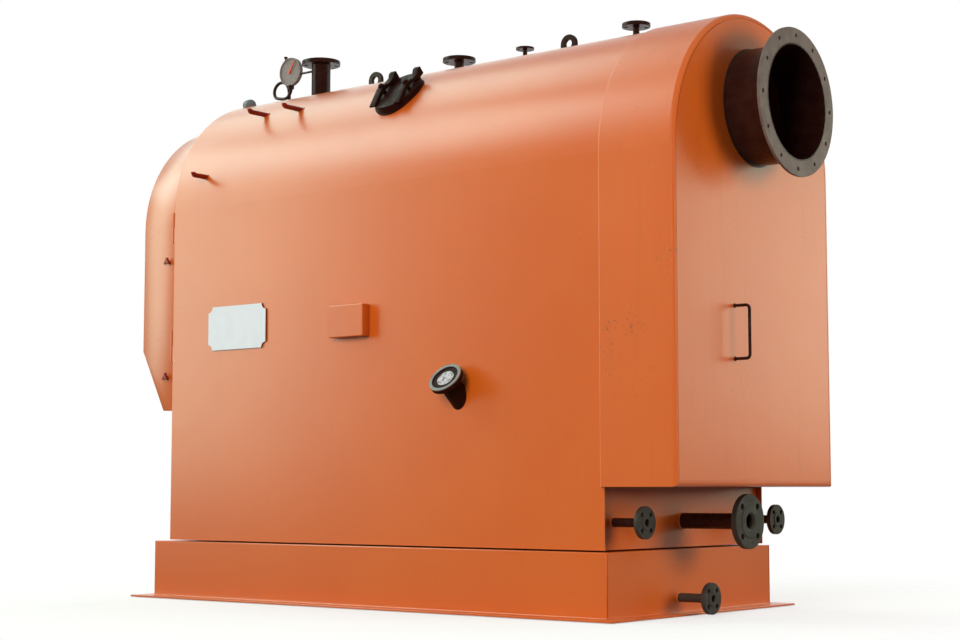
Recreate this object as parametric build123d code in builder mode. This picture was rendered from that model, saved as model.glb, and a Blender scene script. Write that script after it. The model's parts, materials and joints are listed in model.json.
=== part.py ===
from build123d import *
import math
import os

# Industrial boiler, millimetres. X runs from the door end to the flue end, Z is up.
# The origin is the middle of the base plate's underside.

# Base and plinth
plinth_length = 1940
plinth_side_margin = 16
plinth_top = 195
plinth_sheet = 5
plinth_seam = 2
base_flange = 58
base_thickness = 6
deck_thickness = 6

# Jacket: upright sides under a half-round roof, set back from the plinth's ends
jacket_half_width = 450
jacket_side_height = 1165
jacket_gap = 5
jacket_front_setback = 61
jacket_rear_setback = 16.5
sheet = 3

# Pressure body inside the jacket
insulation = 37
shell_thickness = 10
shell_clearance = 35
tube_plate_thickness = 12
rear_recess = 19.5
saddle_width = 90
saddle_inset = 260

# Furnace low in the shell, the chamber behind it, and the two passes of smoke tubes over it
furnace_clearance = 37
furnace_bore = 300
furnace_wall = 8
chamber_rear_gap = 119
chamber_depth = 240
chamber_margin = 12
tube_outer = 57
tube_wall = 4
second_pass_columns = 6
second_pass_rows = 2
second_pass_gap = 202
third_pass_columns = 6
third_pass_rows = 3
third_pass_gap = 294
tube_pitch = 96

# Burner mouth under the door
burner_flange_outer = 400
burner_opening = 220
burner_bolt_margin = 25
burner_bolt_hole = 14
burner_bolts = 8
burner_flange_thickness = 15

# Front door, a deep hood that turns the gases back, over the burner and inside the jacket's outline
door_side_margin = 15
door_drop = 54
door_burner_gap = 25
door_slope_height = 218
door_depth = 173
door_foot_depth = 59
door_gap = 5
door_sheet = 4
door_lining_thickness = 60
opening_margin = 45

# Door hinges and clamp screws
hinge_radius = 7
hinge_pin_radius = 4
hinge_pin_clearance = 0.1
hinge_pin_reach = 40
hinge_washer_gap = 0.5
hinge_leaf = 8
hinge_length = 108
hinge_side_gap = 1
lower_hinge_rise = 229
upper_hinge_drop = 3
lower_clamp_rise = 120
upper_clamp_drop = 121
clamp_arch_angle = 46
clamp_setback = 38
clamp_hub_radius = 8
clamp_arms = 3
clamp_arm_length = 14
clamp_arm_width = 7
clamp_thickness = 9
clamp_stem_radius = 4
clamp_stem_length = 8

# Smokebox, lapped over the jacket's rear end
smokebox_side_step = 11
smokebox_drop = 5
smokebox_clearance = 183.5
smokebox_lap = 10
smokebox_depth = 262
smokebox_sheet = 4
smokebox_edge_radius = 12
smokebox_front_radius = 5
smokebox_lip = 14
rear_panel_thickness = 6
panel_groove = 2

# Flue outlet
flue_rise = 175
flue_outer = 356
flue_wall = 4
flue_reach = 148.5
flue_rim = 48
flue_flange_thickness = 9
flue_bolt_margin = 23
flue_bolt_hole = 13
flue_bolts = 12

# Bar handle on the rear panel
handle_from_middle = 131
handle_rise = 377.5
handle_length = 158
handle_reach = 50
handle_bar = 9.5
handle_bend = 12

# Pipe flanges: outer size, thickness, bolt circle, bolt hole, raised face, all with four holes
raised_face = 2
flange_bolts = 4
feed_mouth = 6
feed_flange = (165, 18, 125, 18, 99)
drain_flange = (95, 14, 65, 14, 45)
steam_flange = (142, 15, 110, 14, 88)
valve_flange = (115, 13, 85, 14, 68)
probe_flange = (62, 7, 44, 7, 30)
vent_flange = (92, 12, 65, 12, 45)

# Pipes: outer size and bore
feed_pipe_size = (48.3, 41.9)
drain_pipe_size = (26.9, 21.7)
steam_pipe_size = (70, 62)
valve_pipe_size = (33.7, 28.5)
probe_pipe_size = (15, 10)
vent_pipe_size = (21.3, 16)
pipe_clearance = 1

# Rear pipes: over the shell's bottom, in from its side, and how far their faces stand out
lower_pipe_rise = 45
drain_side_inset = 32
feed_reach = 243
drain_reach = 122
plinth_drain_clearance = 3.5
plinth_drain_offset = -82
plinth_drain_reach = 121
plinth_drain_inside = 30

# Roof pipes: place along the boiler and rise of the flange face over the roof
steam_from_front = 284
steam_rise = 142
valve_place = 38
valve_rise = 53
probe_place = 326
probe_rise = 47
vent_from_rear = 177.5
vent_rise = 56

# Lifting lugs
lug_places = (-350, 510)
lug_width = 63
lug_thickness = 12
lug_rise = 61
lug_hole = 28
lug_seat = 5

# Pressure gauge and its ring siphon
gauge_from_steam = 147
gauge_rise = 121
gauge_radius = 53.5
gauge_depth = 16
gauge_offset = -9
gauge_bezel = 4
pointer_length = 46
pointer_tail = 8
pointer_width = 8
pointer_tip = 5
pointer_lift = 5
pointer_thickness = 2
pointer_turn = 57
cock_from_gauge = 41
cock_radius = 4.5
cock_cap_radius = 7
cock_cap_height = 5
cock_rise = 66
stay_drop = 14
stay_radius = 4
siphon_tube = 12
siphon_ring_radius = 32
siphon_from_gauge = 61
siphon_ring_drop = 62
siphon_elbow = 18
siphon_lean = 9
siphon_steps = 6

# Dome-headed air vent beside the ridge at the door end
air_vent_from_front = 29
air_vent_angle = 15
air_vent_radius = 25
air_vent_rise = 27
air_vent_dome = 20

# Oval handhole on the near shoulder of the roof, its length along the boiler
handhole_place = 42
handhole_angle = 45
handhole_length = 170
handhole_width = 194
handhole_rise = 8
handhole_wall = 12
handhole_cover_thickness = 10

# Bridges over the handhole cover: a sloped near arm, a crown at the stud and a high heel
yoke_spacing = 106
yoke_width = 24
yoke_reach = 86
yoke_toe_height = 5
yoke_crown_width = 28
yoke_crown_height = 25
yoke_waist = 10
yoke_waist_height = 18
yoke_heel_length = 26
yoke_heel_height = 27
yoke_foot = 24
yoke_arch_height = 10
stud_radius = 6.5
stud_clearance = 0.5
stud_tip = 4
nut_size = 20
nut_height = 6

# Pegs on the near shoulder: place, turn down from the ridge, and reach
peg_radius = 8.5
peg_hook = 9.5
peg_from_front = (308, 483, 149)
peg_angles = (41.7, 42.5, 75.6)
peg_reaches = (85, 85, 65)

# Junction box and nameplate on the near side
box_place = -40
box_height = 921
box_length = 150
box_width = 105
box_depth = 36
box_corner = 4
plate_from_front = 330
plate_height = 932
plate_length = 283
plate_width = 152
plate_notch = 20
plate_thickness = 6

# Flame sight tube
sight_place = 405
sight_height = 665
sight_tilt = 40
sight_reach = 80
sight_tube_outer = 66
sight_tube_bore = 50
sight_ring_outer = 112
sight_ring_thickness = 4
sight_head_thickness = 12
sight_root = 90
sight_rim = 11
sight_glass_radius = 29
sight_glass_thickness = 6

# Plinth and jacket, worked out from the sizes above
plinth_rear = plinth_length / 2
plinth_width = 2 * (jacket_half_width + plinth_side_margin)
jacket_bottom = plinth_top + jacket_gap
jacket_spring = jacket_bottom + jacket_side_height
jacket_front = jacket_front_setback - plinth_rear
jacket_rear = plinth_rear - jacket_rear_setback
roof_top = jacket_spring + jacket_half_width

# Pressure body
shell_half_width = jacket_half_width - sheet - insulation
shell_bottom = jacket_bottom + shell_clearance
front_plate_face = jacket_front + sheet
rear_wall_face = jacket_rear - rear_recess
rear_plate_face = rear_wall_face - sheet

# Furnace, chamber and tubes
furnace_outer = furnace_bore + 2 * furnace_wall
furnace_height = shell_bottom + furnace_clearance + furnace_outer / 2
chamber_front = rear_plate_face - tube_plate_thickness - chamber_rear_gap - chamber_depth
second_pass_height = furnace_height + furnace_outer / 2 + second_pass_gap
second_pass_top = second_pass_height + (second_pass_rows - 1) * tube_pitch
third_pass_height = second_pass_top + third_pass_gap

# Front door
door_half_width = jacket_half_width - door_side_margin
door_spring = jacket_spring - door_drop
door_bottom = furnace_height + burner_flange_outer / 2 + door_burner_gap
door_slope_top = door_bottom + door_slope_height
door_rear = jacket_front - door_gap
door_front = door_rear - door_depth
hinge_heights = (door_bottom + lower_hinge_rise, door_spring - upper_hinge_drop)
clamp_heights = (door_bottom + lower_clamp_rise, door_spring - upper_clamp_drop)

# Smokebox and flue
smokebox_half_width = jacket_half_width + smokebox_side_step
smokebox_spring = jacket_spring - smokebox_drop
smokebox_bottom = jacket_bottom + smokebox_clearance
smokebox_front = jacket_rear - smokebox_lap
smokebox_rear = smokebox_front + smokebox_depth
flue_height = smokebox_spring + flue_rise
flue_face = smokebox_rear + flue_reach
flue_flange_outer = flue_outer + 2 * flue_rim

# Pipes and gauge
lower_pipe_height = shell_bottom + lower_pipe_rise
drain_pipe_offset = shell_half_width - drain_side_inset
plinth_drain_height = drain_flange[0] / 2 + plinth_drain_clearance
steam_place = jacket_front + steam_from_front
vent_place = jacket_rear - vent_from_rear
gauge_place = steam_place - gauge_from_steam
gauge_height = roof_top + gauge_rise

os.makedirs("parts", exist_ok=True)


def finish(part, label):
    """Names a piece and writes it."""
    part.label = label
    export_step(part, f"parts/{label}.step")


def arch(at, half_width, spring, bottom):
    """An upright outline across the boiler, with a half-round top."""
    with BuildSketch(Plane.YZ.offset(at)) as outline:
        with BuildLine():
            Polyline(
                (half_width, spring),
                (half_width, bottom),
                (-half_width, bottom),
                (-half_width, spring),
            )
            CenterArc((0, spring), half_width, 0, 180)
        make_face()
    return outline.sketch


def roof_plane(place, angle, radius):
    """A plane on the roof's round, turned towards the near side by the angle."""
    turn = math.radians(angle)
    origin = (place, -radius * math.sin(turn), jacket_spring + radius * math.cos(turn))
    return Plane(origin=origin, x_dir=(1, 0, 0), z_dir=(0, -math.sin(turn), math.cos(turn)))


def tube_places():
    """Centres of the second and third pass tubes, across the boiler."""
    second = []
    for row in range(second_pass_rows):
        for column in range(second_pass_columns):
            side = (column - (second_pass_columns - 1) / 2) * tube_pitch
            second.append((side, second_pass_height + row * tube_pitch))
    third = []
    for row in range(third_pass_rows):
        for column in range(third_pass_columns):
            side = (column - (third_pass_columns - 1) / 2) * tube_pitch
            third.append((side, third_pass_height + row * tube_pitch))
    return second, third


second_pass, third_pass = tube_places()


def pipe_run(root, length, pipe):
    """A bare pipe that stands on the root plane."""
    outer, bore = pipe
    with BuildPart(root) as run:
        Cylinder(outer / 2, length, align=(Align.CENTER, Align.CENTER, Align.MIN))
        Cylinder(bore / 2, length, align=(Align.CENTER, Align.CENTER, Align.MIN), mode=Mode.SUBTRACT)
    return run.part


def pipe_flange(root, bore, flange):
    """A drilled flange that stands on the root plane, its raised face at the far side."""
    flange_outer, thickness, bolt_circle, bolt_hole, face_size = flange
    with BuildPart(root) as plate:
        Cylinder(flange_outer / 2, thickness, align=(Align.CENTER, Align.CENTER, Align.MIN))
        with Locations((0, 0, thickness)):
            Cylinder(face_size / 2, raised_face, align=(Align.CENTER, Align.CENTER, Align.MIN))
        Cylinder(bore / 2, thickness + raised_face, align=(Align.CENTER, Align.CENTER, Align.MIN),
                 mode=Mode.SUBTRACT)
        with Locations((0, 0, thickness)):
            with PolarLocations(bolt_circle / 2, flange_bolts, start_angle=180 / flange_bolts):
                Hole(bolt_hole / 2, depth=thickness)
    return plate.part


def length_to_flange(reach, flange):
    """How far a bare pipe runs to its flange's back, for a face that stands out so far."""
    return reach - raised_face - flange[1]


def flange_root(root, reach, flange):
    """The plane of a flange's back, for a face that stands so far off the root plane."""
    return root.offset(length_to_flange(reach, flange))


def flanged_pipe(root, reach, pipe, flange):
    """A pipe that stands on the root plane, with a drilled flange at its far end."""
    with BuildPart() as piece:
        add(pipe_run(root, reach - raised_face, pipe))
        add(pipe_flange(flange_root(root, reach, flange), pipe[1], flange))
    return piece.part


def roof_pipe(place, rise, pipe, flange):
    """A flanged pipe on top of the shell, seated on its round, its face so far over the roof."""
    start = jacket_spring + shell_half_width - pipe[0]
    piece = flanged_pipe(Plane.XY.move(Location((place, 0, start))), roof_top + rise - start, pipe, flange)
    with BuildPart() as seated:
        add(piece)
        extrude(arch(jacket_front, shell_half_width, jacket_spring, shell_bottom),
                amount=jacket_rear - jacket_front, mode=Mode.SUBTRACT)
    return seated.part


def door_form(inset, rear):
    """The door's outer form shrunk by the inset, from its front back to the rear plane."""
    front = door_front + inset
    run = door_depth - door_foot_depth
    rise = door_slope_top - door_bottom
    slope_shift = inset * math.hypot(run, rise) / run

    def slope(place):
        return door_slope_top + slope_shift - (place - door_front) * rise / run

    slope_end = door_front + 2 * run
    with BuildPart() as form:
        extrude(arch(front, door_half_width - inset, door_spring, door_bottom + inset), amount=rear - front)
        with BuildSketch(Plane.XZ):
            Polygon(
                (front, slope(front)),
                (slope_end, slope(slope_end)),
                (front, slope(slope_end)),
                align=None,
            )
        extrude(amount=door_half_width, both=True, mode=Mode.SUBTRACT)
    return form.part


# Base plate
with BuildPart() as base_plate:
    Box(plinth_length + 2 * base_flange, plinth_width + 2 * base_flange, base_thickness,
        align=(Align.CENTER, Align.CENTER, Align.MIN))
finish(base_plate.part, "base_plate")

# Plinth side panels
with BuildPart() as plinth_side_panels:
    with Locations(Plane.XY.offset(base_thickness)):
        with GridLocations(0, plinth_width - plinth_sheet, 1, 2):
            Box(plinth_length, plinth_sheet, plinth_top - base_thickness,
                align=(Align.CENTER, Align.CENTER, Align.MIN))
finish(plinth_side_panels.part, "plinth_side_panels")

# Plinth end panels, the rear one holed for its drain
plinth_inner_width = plinth_width - 2 * plinth_sheet
with BuildPart() as plinth_end_panels:
    with Locations(Plane.XY.offset(base_thickness)):
        with GridLocations(plinth_length - plinth_sheet, 0, 2, 1):
            Box(plinth_sheet, plinth_inner_width - 2 * plinth_seam, plinth_top - base_thickness,
                align=(Align.CENTER, Align.CENTER, Align.MIN))
    with Locations(Plane(origin=(plinth_rear, plinth_drain_offset, plinth_drain_height), z_dir=(1, 0, 0))):
        Hole(drain_pipe_size[0] / 2, depth=plinth_sheet)
finish(plinth_end_panels.part, "plinth_end_panels")

# Deck on the plinth
with BuildPart(Plane.XY.offset(plinth_top)) as plinth_deck:
    Box(plinth_length - 2 * plinth_sheet, plinth_inner_width, deck_thickness,
        align=(Align.CENTER, Align.CENTER, Align.MAX))
finish(plinth_deck.part, "plinth_deck")

# Saddles between the deck and the pressure body
saddle_spacing = rear_plate_face - front_plate_face - 2 * saddle_inset
with BuildPart(Plane.XY.offset(plinth_top)) as boiler_saddles:
    with Locations(((front_plate_face + rear_plate_face) / 2, 0, 0)):
        with GridLocations(saddle_spacing, 0, 2, 1):
            Box(saddle_width, 2 * shell_half_width, shell_bottom - plinth_top,
                align=(Align.CENTER, Align.CENTER, Align.MIN))
finish(boiler_saddles.part, "boiler_saddles")

# Roof fittings that pass through the jacket: place and outer size
roof_holes = (
    (steam_place, steam_pipe_size),
    (valve_place, valve_pipe_size),
    (probe_place, probe_pipe_size),
    (vent_place, vent_pipe_size),
)

# Pressure shell
with BuildPart() as boiler_shell:
    shell_front = front_plate_face + tube_plate_thickness
    shell_length = rear_plate_face - tube_plate_thickness - shell_front
    extrude(arch(shell_front, shell_half_width, jacket_spring, shell_bottom), amount=shell_length)
    extrude(arch(shell_front, shell_half_width - shell_thickness, jacket_spring,
                 shell_bottom + shell_thickness),
            amount=shell_length, mode=Mode.SUBTRACT)
    for place, (outer, bore) in roof_holes:
        with Locations((place, 0, jacket_spring)):
            Cylinder(bore / 2, jacket_half_width, align=(Align.CENTER, Align.CENTER, Align.MIN),
                     mode=Mode.SUBTRACT)
finish(boiler_shell.part, "boiler_shell")


def tube_plate(face, label, holes):
    """An end plate of the pressure body, drilled for its tubes: hole places and sizes."""
    with BuildPart() as plate:
        extrude(arch(face, shell_half_width, jacket_spring, shell_bottom), amount=tube_plate_thickness)
        with BuildSketch(Plane.YZ.offset(face)):
            for place, size in holes:
                with Locations(place):
                    Circle(size / 2)
        extrude(amount=tube_plate_thickness, mode=Mode.SUBTRACT)
    finish(plate.part, label)


front_holes = [(place, tube_outer) for place in second_pass + third_pass]
front_holes.append(((0, furnace_height), furnace_outer))
tube_plate(front_plate_face, "front_tube_plate", front_holes)

rear_holes = [(place, tube_outer) for place in third_pass]
rear_holes.append(((0, lower_pipe_height), feed_pipe_size[1]))
for side in (-1, 1):
    rear_holes.append(((side * drain_pipe_offset, lower_pipe_height), drain_pipe_size[1]))
tube_plate(rear_plate_face - tube_plate_thickness, "rear_tube_plate", rear_holes)

# Furnace
with BuildPart(Plane.YZ.offset(front_plate_face)) as furnace_tube:
    furnace_length = chamber_front - front_plate_face
    with Locations((0, furnace_height, 0)):
        Cylinder(furnace_outer / 2, furnace_length, align=(Align.CENTER, Align.CENTER, Align.MIN))
        Cylinder(furnace_bore / 2, furnace_length, align=(Align.CENTER, Align.CENTER, Align.MIN),
                 mode=Mode.SUBTRACT)
finish(furnace_tube.part, "furnace_tube")

# Chamber where the furnace gases turn into the second pass
chamber_width = (second_pass_columns - 1) * tube_pitch + 2 * tube_outer
chamber_low = furnace_height - furnace_outer / 2 - chamber_margin
chamber_high = second_pass_top + tube_outer
with BuildPart() as turning_chamber:
    with Locations((chamber_front, 0, chamber_low)):
        Box(chamber_depth, chamber_width, chamber_high - chamber_low,
            align=(Align.MIN, Align.CENTER, Align.MIN))
    with Locations((chamber_front + furnace_wall, 0, chamber_low + furnace_wall)):
        Box(chamber_depth - 2 * furnace_wall, chamber_width - 2 * furnace_wall,
            chamber_high - chamber_low - 2 * furnace_wall,
            align=(Align.MIN, Align.CENTER, Align.MIN), mode=Mode.SUBTRACT)
    with BuildSketch(Plane.YZ.offset(chamber_front)):
        for place in second_pass:
            with Locations(place):
                Circle(tube_outer / 2 - tube_wall)
        with Locations((0, furnace_height)):
            Circle(furnace_bore / 2)
    extrude(amount=furnace_wall, mode=Mode.SUBTRACT)
finish(turning_chamber.part, "turning_chamber")

# Smoke tubes
with BuildPart() as smoke_tubes:
    for places, end in ((second_pass, chamber_front), (third_pass, rear_plate_face)):
        with BuildSketch(Plane.YZ.offset(front_plate_face)):
            for place in places:
                with Locations(place):
                    Circle(tube_outer / 2)
                    Circle(tube_outer / 2 - tube_wall, mode=Mode.SUBTRACT)
        extrude(amount=end - front_plate_face)
finish(smoke_tubes.part, "smoke_tubes")

# Sight tube axis: out and up from the near side
sight_turn = math.radians(sight_tilt)
sight_axis = (0, -math.cos(sight_turn), math.sin(sight_turn))
sight_foot = (sight_place, -jacket_half_width, sight_height)
sight_plane = Plane(origin=sight_foot, x_dir=(1, 0, 0), z_dir=sight_axis)

# Main jacket
with BuildPart() as main_jacket:
    jacket_length = jacket_rear - jacket_front
    extrude(arch(jacket_front, jacket_half_width, jacket_spring, jacket_bottom), amount=jacket_length)
    extrude(arch(jacket_front, jacket_half_width - sheet, jacket_spring, jacket_bottom),
            amount=jacket_length, mode=Mode.SUBTRACT)
    for place, (outer, bore) in roof_holes:
        with Locations((place, 0, jacket_spring)):
            Cylinder(outer / 2 + pipe_clearance, jacket_half_width + sheet,
                     align=(Align.CENTER, Align.CENTER, Align.MIN), mode=Mode.SUBTRACT)
    with Locations(sight_plane):
        Cylinder(sight_tube_outer / 2 + pipe_clearance, jacket_half_width / 2, mode=Mode.SUBTRACT)
finish(main_jacket.part, "main_jacket")

# Front wall: closes the jacket, open at the burner and inside the door
with BuildPart() as front_wall:
    extrude(arch(jacket_front, jacket_half_width - sheet, jacket_spring, jacket_bottom), amount=sheet)
    extrude(arch(jacket_front, door_half_width - opening_margin, door_spring, door_bottom + opening_margin),
            amount=sheet, mode=Mode.SUBTRACT)
    with BuildSketch(Plane.YZ.offset(jacket_front)):
        with Locations((0, furnace_height)):
            Circle(furnace_bore / 2)
    extrude(amount=sheet, mode=Mode.SUBTRACT)
finish(front_wall.part, "front_wall")

# Burner flange on the front wall
with BuildPart(Plane.YZ.offset(jacket_front)) as burner_flange:
    with Locations((0, furnace_height, 0)):
        Cylinder(burner_flange_outer / 2, burner_flange_thickness,
                 align=(Align.CENTER, Align.CENTER, Align.MAX))
        Cylinder(burner_opening / 2, burner_flange_thickness,
                 align=(Align.CENTER, Align.CENTER, Align.MAX), mode=Mode.SUBTRACT)
        with PolarLocations(burner_flange_outer / 2 - burner_bolt_margin, burner_bolts,
                            start_angle=180 / burner_bolts):
            Cylinder(burner_bolt_hole / 2, burner_flange_thickness,
                     align=(Align.CENTER, Align.CENTER, Align.MAX), mode=Mode.SUBTRACT)
finish(burner_flange.part, "burner_flange")

# Rear wall: closes the jacket, open to the smokebox
with BuildPart() as rear_wall:
    extrude(arch(rear_plate_face, jacket_half_width - sheet, jacket_spring, jacket_bottom), amount=sheet)
    extrude(arch(rear_plate_face, shell_half_width - opening_margin, jacket_spring,
                 smokebox_bottom + opening_margin),
            amount=sheet, mode=Mode.SUBTRACT)
    with BuildSketch(Plane.YZ.offset(rear_plate_face)):
        with Locations((0, lower_pipe_height)):
            Circle(feed_pipe_size[0] / 2 + pipe_clearance)
        with Locations((-drain_pipe_offset, lower_pipe_height), (drain_pipe_offset, lower_pipe_height)):
            Circle(drain_pipe_size[0] / 2 + pipe_clearance)
    extrude(amount=sheet, mode=Mode.SUBTRACT)
finish(rear_wall.part, "rear_wall")

# Smokebox jacket: a hood round the rear end, with a lip that holds the rear panel
smokebox_inner = smokebox_half_width - smokebox_sheet
lip_front = smokebox_rear - smokebox_lip
panel_half_width = smokebox_half_width - smokebox_lip
panel_bottom = smokebox_bottom + smokebox_lip
with BuildPart() as smokebox_jacket:
    extrude(arch(smokebox_front, smokebox_half_width, smokebox_spring, smokebox_bottom),
            amount=smokebox_rear - smokebox_front)
    front_rim = smokebox_jacket.faces().sort_by(Axis.X)[0].edges().sort_by(Axis.Z)[1:]
    fillet(front_rim, smokebox_front_radius)
    fillet(smokebox_jacket.faces().sort_by(Axis.X)[-1].edges(), smokebox_edge_radius)
    extrude(arch(smokebox_front, jacket_half_width, jacket_spring, smokebox_bottom),
            amount=jacket_rear - smokebox_front, mode=Mode.SUBTRACT)
    extrude(arch(jacket_rear, smokebox_inner, smokebox_spring, smokebox_bottom),
            amount=lip_front - jacket_rear, mode=Mode.SUBTRACT)
    extrude(arch(lip_front, panel_half_width, smokebox_spring, panel_bottom),
            amount=smokebox_lip, mode=Mode.SUBTRACT)
finish(smokebox_jacket.part, "smokebox_jacket")

# Smokebox floor, from the rear wall to the lip
with BuildPart() as smokebox_floor:
    with Locations((rear_wall_face, 0, smokebox_bottom)):
        Box(jacket_rear - rear_wall_face, 2 * (jacket_half_width - sheet), smokebox_sheet,
            align=(Align.MIN, Align.CENTER, Align.MIN))
    with Locations((jacket_rear, 0, smokebox_bottom)):
        Box(lip_front - jacket_rear, 2 * smokebox_inner, smokebox_sheet,
            align=(Align.MIN, Align.CENTER, Align.MIN))
finish(smokebox_floor.part, "smokebox_floor")

# Rear panel of the smokebox, with a narrow groove round its face
panel_face = smokebox_rear - rear_panel_thickness
groove_depth = rear_panel_thickness / 2
with BuildPart() as smokebox_rear_panel:
    extrude(arch(panel_face, panel_half_width, smokebox_spring, panel_bottom), amount=rear_panel_thickness)
    extrude(arch(smokebox_rear - groove_depth, panel_half_width, smokebox_spring, panel_bottom)
            - arch(smokebox_rear - groove_depth, panel_half_width - panel_groove, smokebox_spring,
                   panel_bottom + panel_groove),
            amount=groove_depth, mode=Mode.SUBTRACT)
    with BuildSketch(Plane.YZ.offset(panel_face)):
        with Locations((0, flue_height)):
            Circle(flue_outer / 2)
    extrude(amount=rear_panel_thickness, mode=Mode.SUBTRACT)
finish(smokebox_rear_panel.part, "smokebox_rear_panel")

# Flue pipe and its flange
with BuildPart(Plane.YZ.offset(panel_face)) as flue_pipe:
    flue_length = flue_face - panel_face
    with Locations((0, flue_height, 0)):
        Cylinder(flue_outer / 2, flue_length, align=(Align.CENTER, Align.CENTER, Align.MIN))
        Cylinder(flue_outer / 2 - flue_wall, flue_length, align=(Align.CENTER, Align.CENTER, Align.MIN),
                 mode=Mode.SUBTRACT)
finish(flue_pipe.part, "flue_pipe")

with BuildPart(Plane.YZ.offset(flue_face)) as flue_flange:
    with Locations((0, flue_height, 0)):
        Cylinder(flue_flange_outer / 2, flue_flange_thickness, align=(Align.CENTER, Align.CENTER, Align.MAX))
        Cylinder(flue_outer / 2, flue_flange_thickness, align=(Align.CENTER, Align.CENTER, Align.MAX),
                 mode=Mode.SUBTRACT)
        with PolarLocations(flue_flange_outer / 2 - flue_bolt_margin, flue_bolts):
            Cylinder(flue_bolt_hole / 2, flue_flange_thickness,
                     align=(Align.CENTER, Align.CENTER, Align.MAX), mode=Mode.SUBTRACT)
finish(flue_flange.part, "flue_flange")

# Bar handle
handle_foot = (smokebox_rear, -handle_from_middle, smokebox_bottom + handle_rise)
with BuildPart() as rear_handle:
    with BuildLine(Plane(origin=handle_foot, x_dir=(1, 0, 0), z_dir=(0, -1, 0))) as bar:
        FilletPolyline(
            (0, 0),
            (handle_reach, 0),
            (handle_reach, handle_length),
            (0, handle_length),
            radius=handle_bend,
        )
    with BuildSketch(Plane(origin=bar.line @ 0, z_dir=bar.line % 0)):
        Circle(handle_bar / 2)
    sweep(path=bar.line)
finish(rear_handle.part, "rear_handle")


def rear_plane(place, offset, height):
    """A plane across the boiler that faces the flue end."""
    return Plane(origin=(place, offset, height), x_dir=(0, 1, 0), z_dir=(1, 0, 0))


# Feed pipe and its flange, the flange's mouth opened out
feed_root = rear_plane(rear_plate_face, 0, lower_pipe_height)
finish(pipe_run(feed_root, length_to_flange(feed_reach, feed_flange), feed_pipe_size), "feed_pipe")
with BuildPart() as feed_flange_plate:
    add(pipe_flange(flange_root(feed_root, feed_reach, feed_flange), feed_pipe_size[1], feed_flange))
    mouth = feed_flange_plate.faces().sort_by(Axis.X)[-1].edges().sort_by(SortBy.RADIUS)[0]
    chamfer(mouth, feed_mouth)
finish(feed_flange_plate.part, "feed_flange")

# Drains at the rear, low at both sides
drain_roots = []
for side in (-1, 1):
    drain_roots.append(rear_plane(rear_plate_face, side * drain_pipe_offset, lower_pipe_height))
with BuildPart() as drain_pipes:
    for root in drain_roots:
        add(pipe_run(root, length_to_flange(drain_reach, drain_flange), drain_pipe_size))
finish(drain_pipes.part, "drain_pipes")

# Flanges of the rear drains
with BuildPart() as drain_flanges:
    for root in drain_roots:
        add(pipe_flange(flange_root(root, drain_reach, drain_flange), drain_pipe_size[1], drain_flange))
finish(drain_flanges.part, "drain_flanges")

# Drain on the plinth
plinth_drain_root = rear_plane(plinth_rear - plinth_drain_inside, plinth_drain_offset, plinth_drain_height)
plinth_drain_length = plinth_drain_reach + plinth_drain_inside
finish(flanged_pipe(plinth_drain_root, plinth_drain_length, drain_pipe_size, drain_flange), "plinth_drain")

# Pipes on the roof
finish(roof_pipe(steam_place, steam_rise, steam_pipe_size, steam_flange), "steam_outlet")
finish(roof_pipe(valve_place, valve_rise, valve_pipe_size, valve_flange), "safety_valve_pipe")
finish(roof_pipe(probe_place, probe_rise, probe_pipe_size, probe_flange), "probe_pipe")
finish(roof_pipe(vent_place, vent_rise, vent_pipe_size, vent_flange), "vent_pipe")


def seat_on_jacket(part):
    """Cuts a roof fitting to the jacket's outer skin."""
    with BuildPart() as seated:
        add(part)
        extrude(arch(jacket_front, jacket_half_width, jacket_spring, jacket_bottom),
                amount=jacket_rear - jacket_front, mode=Mode.SUBTRACT)
    return seated.part


# Lifting lugs, cut to the roof's round at the foot
lug_middle = lug_rise - lug_width / 2
with BuildPart() as lifting_lugs:
    for place in lug_places:
        with BuildSketch(Plane(origin=(place, 0, roof_top), x_dir=(1, 0, 0), z_dir=(0, -1, 0))):
            with Locations((0, lug_middle)):
                Circle(lug_width / 2)
                Rectangle(lug_width, lug_middle + lug_seat, align=(Align.CENTER, Align.MAX))
                Circle(lug_hole / 2, mode=Mode.SUBTRACT)
        extrude(amount=lug_thickness / 2, both=True)
finish(seat_on_jacket(lifting_lugs.part), "lifting_lugs")

# Ring siphon: one tube from the gauge down, once round and into the roof
gauge_plane = Plane(origin=(gauge_place, gauge_offset, gauge_height), x_dir=(1, 0, 0), z_dir=(0, -1, 0))
siphon_place = gauge_place - siphon_from_gauge
siphon_height = gauge_height - siphon_ring_drop
siphon_low = siphon_height - siphon_ring_radius
siphon_points = [
    (gauge_place, gauge_offset, gauge_height - gauge_radius + siphon_tube / 2),
    (gauge_place, gauge_offset, siphon_low + 2 * siphon_tube),
    (gauge_place - siphon_elbow, -siphon_lean, siphon_low),
]
for step in range(siphon_steps + 1):
    turned = math.radians(-90 - 270 * step / siphon_steps)
    siphon_points.append((
        siphon_place + siphon_ring_radius * math.cos(turned),
        siphon_lean * (2 * step / siphon_steps - 1),
        siphon_height + siphon_ring_radius * math.sin(turned),
    ))
siphon_points.append((siphon_place + siphon_ring_radius, siphon_lean, jacket_spring + shell_half_width))
with BuildPart() as gauge_siphon:
    with BuildLine() as coil:
        Spline(*siphon_points)
    with BuildSketch(Plane(origin=coil.line @ 0, z_dir=coil.line % 0)):
        Circle(siphon_tube / 2)
    sweep(path=coil.line)
    with Locations(gauge_plane):
        Cylinder(gauge_radius, gauge_depth, mode=Mode.SUBTRACT)
finish(seat_on_jacket(gauge_siphon.part), "gauge_siphon")

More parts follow.
